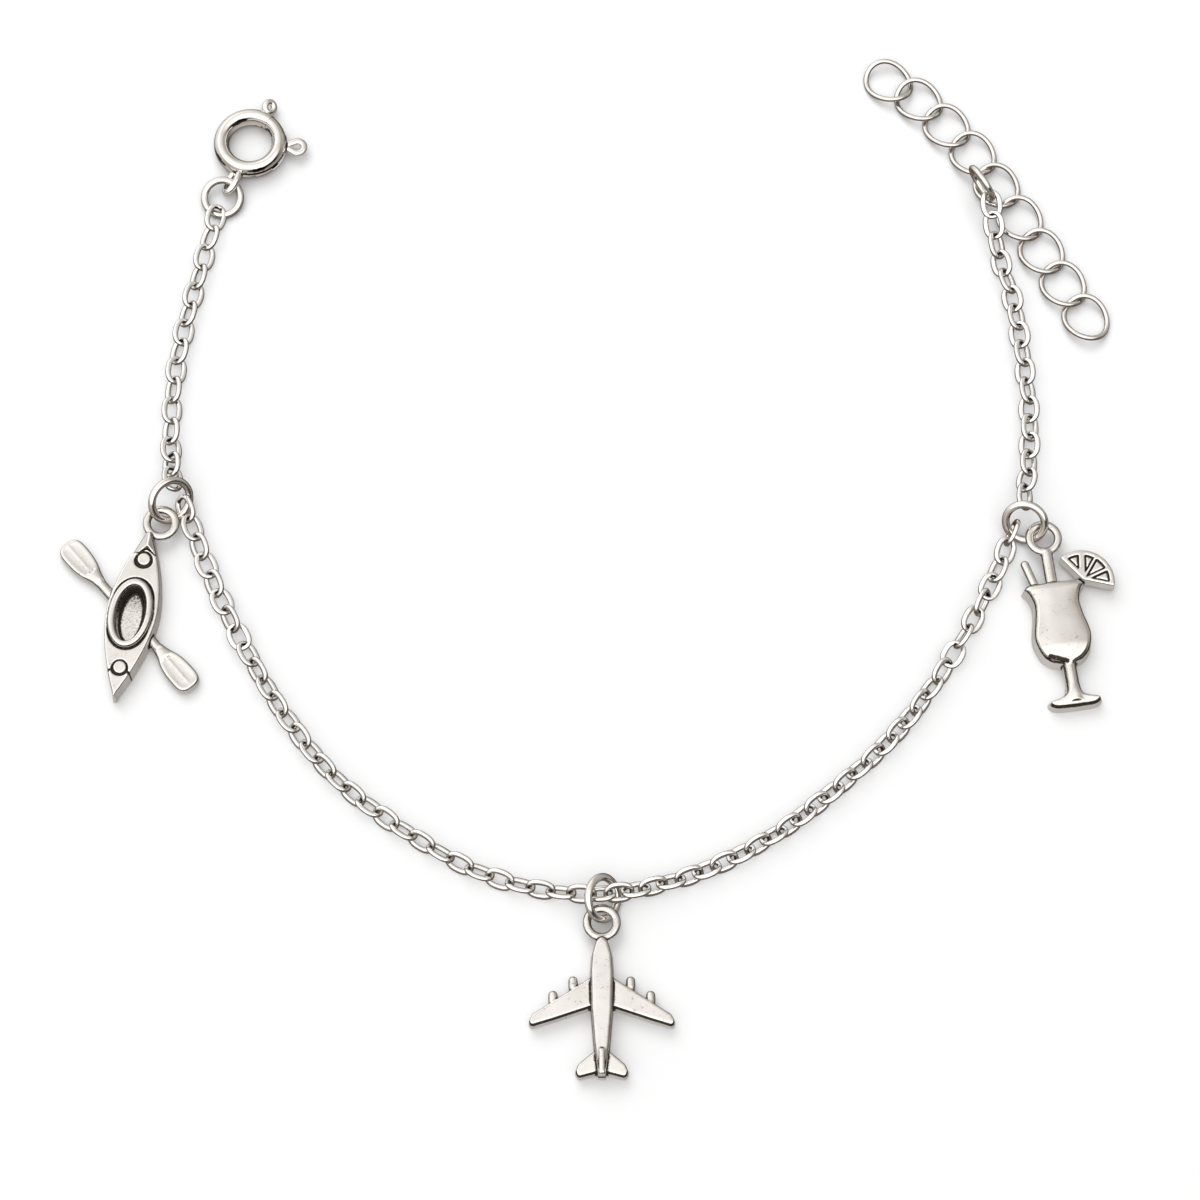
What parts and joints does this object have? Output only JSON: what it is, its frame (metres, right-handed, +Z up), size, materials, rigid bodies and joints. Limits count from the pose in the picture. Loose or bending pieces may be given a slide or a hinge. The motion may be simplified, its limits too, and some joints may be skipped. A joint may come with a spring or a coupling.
{
  "type": "charm anklet",
  "caption": "Fine cable-chain anklet lying open in a wide U, with a spring-ring clasp, a link extender and cast kayak, airplane and cocktail-glass charms on jump rings.",
  "frame": {"origin": "centre of the bounding box's bottom, on the surface the anklet lies on", "axes": "+X from the clasp's end towards the extender's end, +Y from the airplane at the bottom of the U towards its open end, +Z up from the surface"},
  "size_m": [0.1192, 0.1226, 0.0052],
  "materials": {
    "bright_silver": "polished silver-coloured metal",
    "antique_silver": "polished cast silver-coloured metal with darkened recesses"
  },
  "bodies": {
    "anklet": {"clasp_ring": "bright_silver", "jump_ring_clasp": "bright_silver", "jump_ring_kayak": "bright_silver", "jump_ring_airplane": "bright_silver", "jump_ring_cocktail": "bright_silver", "jump_ring_extender": "bright_silver", "charm_kayak": "antique_silver", "charm_airplane": "antique_silver", "charm_cocktail": "antique_silver", "extender_link_1": "bright_silver", "extender_link_2": "bright_silver", "extender_link_3": "bright_silver", "extender_link_4": "bright_silver", "extender_link_5": "bright_silver", "extender_link_6": "bright_silver", "extender_link_7": "bright_silver", "extender_link_8": "bright_silver", "extender_link_9": "bright_silver", "chain_run_clasp": "bright_silver", "chain_run_middle": "bright_silver", "chain_run_extender": "bright_silver"},
    "gate": {"clasp_gate": "bright_silver"}
  },
  "joints": [
    {"name": "gate_turn", "type": "hinge", "parent": "anklet", "child": "gate", "pos_m": [-0.03988, 0.05022, 0.00125], "axis": [0, 0, 1], "range_deg": [-38, 0], "stiffness_Nm_per_rad": 0.0001, "springref_deg": 17.19}
  ]
}
